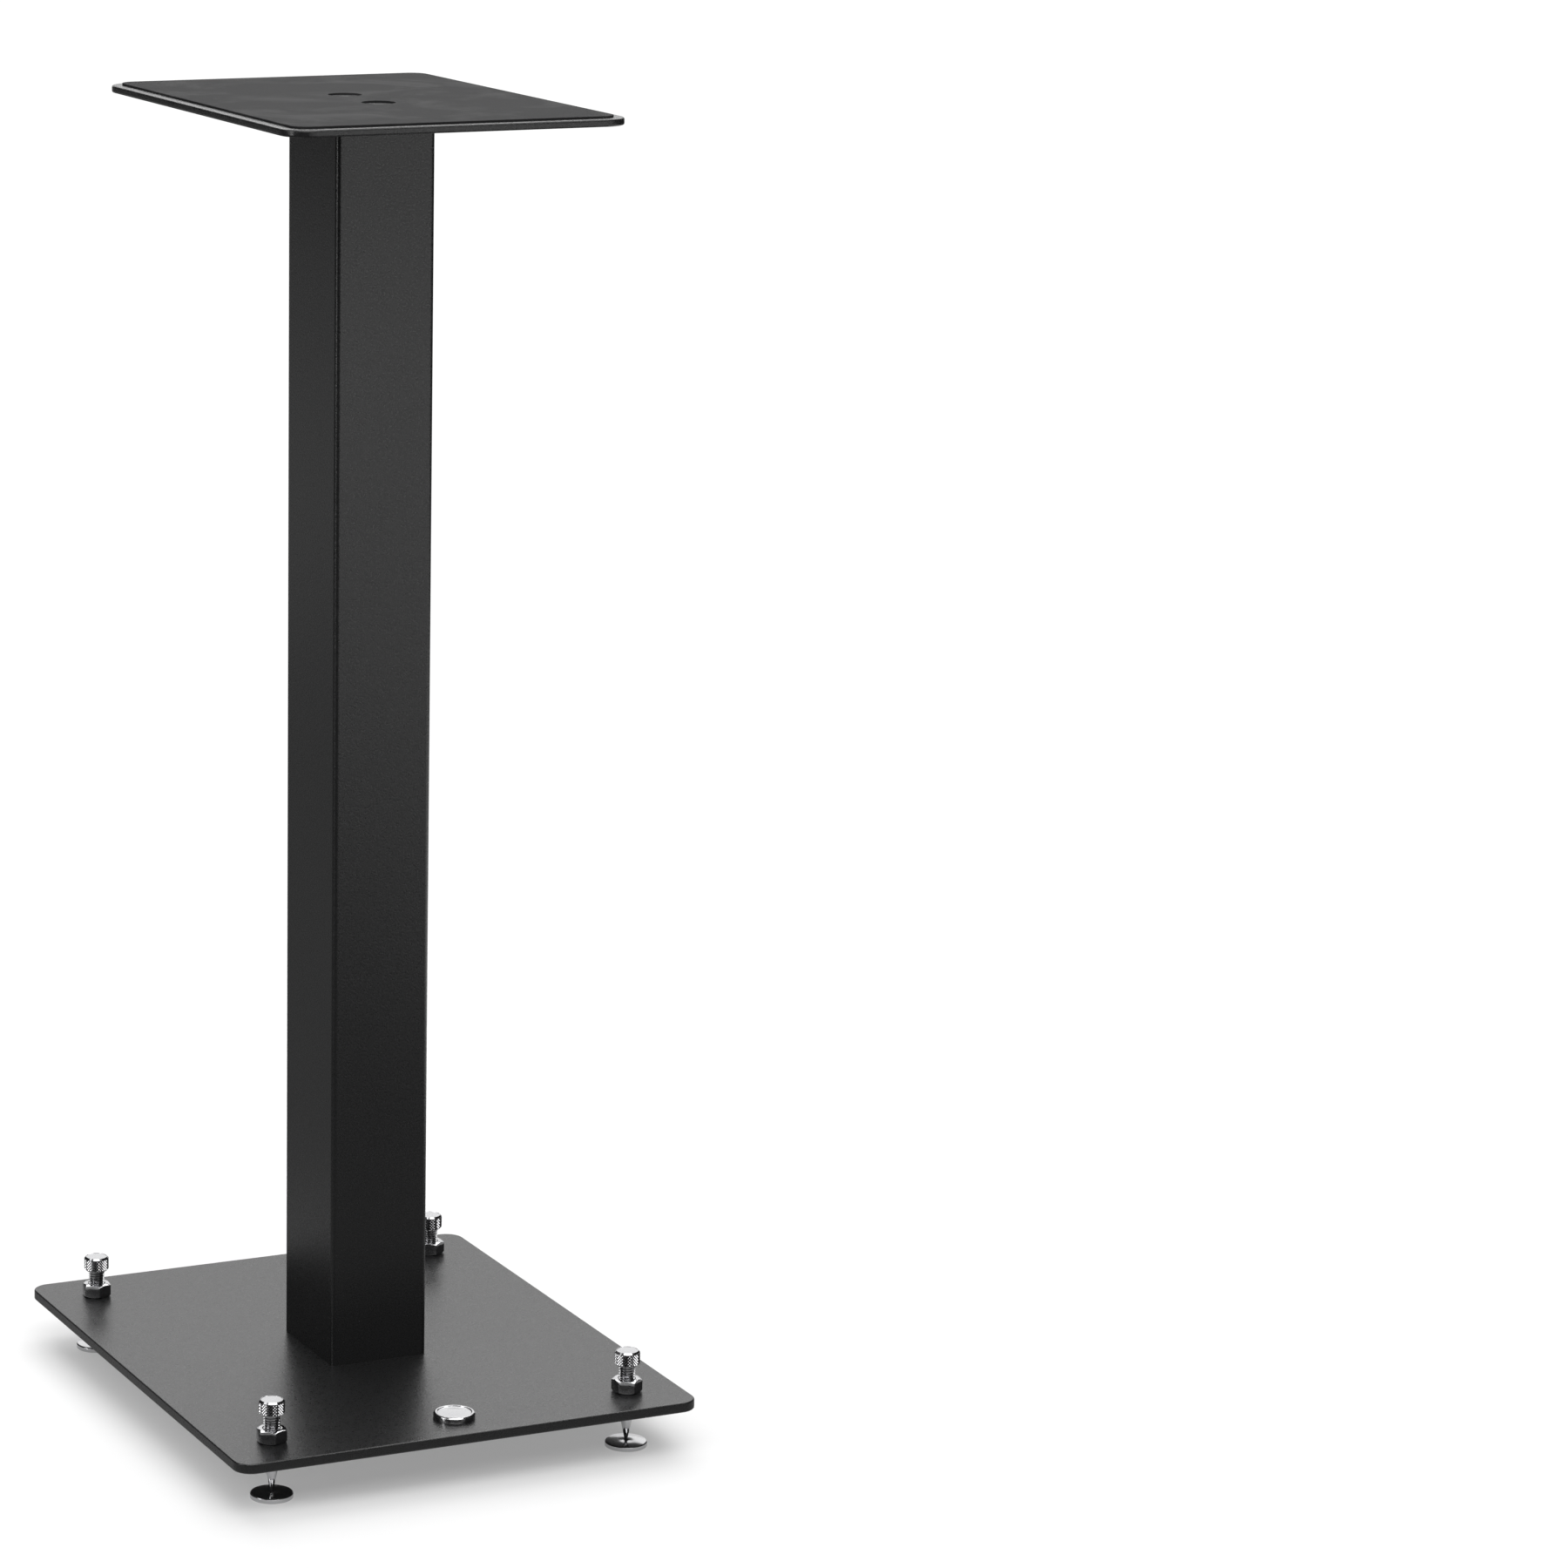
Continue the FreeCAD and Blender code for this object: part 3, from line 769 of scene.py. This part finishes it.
floor_paint, tree, grey_floor = new_material("floor_paint")
grey_floor.inputs["Roughness"].default_value = FLOOR_ROUGHNESS
grey_floor.inputs["Specular IOR Level"].default_value = 0.0
light_path = tree.nodes.new("ShaderNodeLightPath").outputs
paint = add_node(tree, "ShaderNodeBsdfDiffuse", {"Color": FLOOR_PAINT}).outputs[0]
glow = add_node(tree, "ShaderNodeEmission", {"Color": WHITE, "Strength": FLOOR_GLOW}).outputs[0]
lit_floor = add_node(tree, "ShaderNodeAddShader", {0: paint, 1: glow}).outputs[0]
white = add_node(tree, "ShaderNodeEmission", {"Color": WHITE, "Strength": EVEN_WHITE}).outputs[0]
position = add_node(tree, "ShaderNodeTexCoord", {}).outputs["Object"]
length = add_node(tree, "ShaderNodeVectorMath", {0: position}, operation="LENGTH")
distance = length.outputs["Value"]
fade = add_ramp(tree, distance, NEAR_FLOOR, FAR_FLOOR, kind="SMOOTHSTEP")
seen_floor = mix_shaders(tree, fade, lit_floor, white)
# Painted light: for reflected rays the grey floor is painted lighter near the stand's middle and
# darker farther out, a painted pool of light round the stand.
grey = add_ramp(
    tree, distance, NEAR_GREY, FAR_GREY, low=GREY_BESIDE, high=GREY_BEYOND, kind="SMOOTHSTEP"
)
tree.links.new(grey, grey_floor.inputs["Base Color"])
far_look = add_ramp(tree, light_path["Ray Length"], SHORT_LOOK, LONG_LOOK)
mirrored_floor = mix_shaders(tree, far_look, lit_floor, grey_floor.outputs[0])
whole_floor = mix_shaders(tree, light_path["Is Camera Ray"], mirrored_floor, seen_floor)
floor_output = next(node for node in tree.nodes if node.type == "OUTPUT_MATERIAL")
tree.links.new(whole_floor, floor_output.inputs["Surface"])
floor_mesh.materials.append(floor_paint)
print("floor radius:", FLOOR_RADIUS, "m")

# %% [markdown]
# ## Light
# The satin tops of the plates show grey because they mirror something bright behind the
# stand: two wide boxes there do it, and a brighter one above them draws the light line along
# each plate's front edge. Boxes overhead, above the camera and at the left light the floor from
# all round, so the shadow fades close to the base plate. The column's upright sides mirror
# only what lies low, so glowing cards just above the floor give them their even dark grey.
# All lights are hidden from the camera. The room itself is dim, so black stays black.

# %% Soft boxes and room
STAND_MIDDLE = (0.0, 0.0, 0.3)
STAND_FOOT = (0.0, 0.0, 0.2)
# Each soft box: its name, place, what it points at, width, height and brightness.
SOFT_BOXES = (
    ("overhead_box", (0.6, 1.2, 2.6), (0.1, 0.1, 0.0), 3.6, 3.0, 2.6),
    ("back_low", (1.3, 3.1, 0.55), STAND_MIDDLE, 3.6, 0.9, 0.89),
    ("back_middle", (1.25, 3.1, 1.45), STAND_MIDDLE, 3.6, 0.9, 1.22),
    ("back_high", (1.1, 2.6, 2.3), STAND_MIDDLE, 2.4, 0.6, 3.0),
    ("front_high", (-0.5, -2.0, 2.1), STAND_FOOT, 2.6, 1.3, 3.1),
    ("front_top", (-0.2, -1.2, 2.6), STAND_FOOT, 3.0, 1.2, 2.95),
    ("front_middle", (0.85, -1.95, 0.75), (0.0, 0.0, 0.5), 0.8, 0.6, 0.71),
    ("left_high", (-2.2, -0.2, 1.9), STAND_FOOT, 2.2, 1.3, 1.64),
    ("left_strip", (-2.2, -0.3, 0.7), STAND_FOOT, 0.35, 1.2, 6.0),
)
# Each floor card: its name, place on the floor, width, depth and brightness.
FLOOR_CARDS = (
    ("front_card", (1.5, -3.6), 3.6, 3.6, 2.1),
    ("right_card", (0.95, -0.35), 0.9, 1.6, 1.8),
    ("back_card", (-1.5, 3.6), 3.6, 3.6, 0.24),
    ("back_near_card", (-0.4, 0.95), 1.2, 1.2, 0.05),
)
CARD_HEIGHT = 0.01
CARD_AIM_HEIGHT = 3.0
ROOM_GLOW = 0.02


def soft_box(name, place, aim, width, height, brightness):
    """A rectangular area light that points at its aim, as bright as given where it is seen."""
    light = bpy.data.lights.new(name, "AREA")
    light.shape = "RECTANGLE"
    light.size = width
    light.size_y = height
    light.energy = brightness * math.pi * width * height
    lamp = bpy.data.objects.new(name, light)
    lamp.location = place
    lamp.rotation_euler = (Vector(aim) - Vector(place)).to_track_quat("-Z", "Y").to_euler()
    lamp.visible_camera = False
    bpy.context.scene.collection.objects.link(lamp)


for name, place, aim, width, height, brightness in SOFT_BOXES:
    soft_box(name, place, aim, width, height, brightness)
for name, place, width, depth, brightness in FLOOR_CARDS:
    soft_box(name, (*place, CARD_HEIGHT), (*place, CARD_AIM_HEIGHT), width, depth, brightness)
world = bpy.data.worlds.new("room")
world.use_nodes = True
bpy.context.scene.world = world
tree = world.node_tree
room_light = tree.nodes["Background"]
room_light.inputs["Color"].default_value = WHITE
seen_by_camera = tree.nodes.new("ShaderNodeLightPath").outputs["Is Camera Ray"]
room_strength = add_ramp(tree, seen_by_camera, 0.0, 1.0, low=ROOM_GLOW, high=EVEN_WHITE)
tree.links.new(room_strength, room_light.inputs["Strength"])
print("lights:", len(bpy.data.lights))

# %% [markdown]
# ## Camera
# The camera stands at the left front, a little above the top plate, with a long lens. The
# stand belongs in the left part of the picture, and a lens that is slid sideways puts it
# there while the column stays as upright as in the photograph.

# %% Set the camera
PICTURE_SIDE = 1800
AXIS_COLUMN = 500
camera_data = bpy.data.cameras.new("camera")
camera_data.sensor_width = 36
camera_data.lens = 122.737
camera_data.shift_x = 0.5 - AXIS_COLUMN / PICTURE_SIDE
camera = bpy.data.objects.new("camera", camera_data)
camera.location = (-0.98713, -2.30572, 0.87988)
camera.rotation_euler = [math.radians(turn) for turn in (77.188, -0.489, -23.919)]
bpy.context.scene.collection.objects.link(camera)
bpy.context.scene.camera = camera
bpy.context.scene.view_settings.view_transform = "Standard"
print("camera shift:", round(camera_data.shift_x, 3))
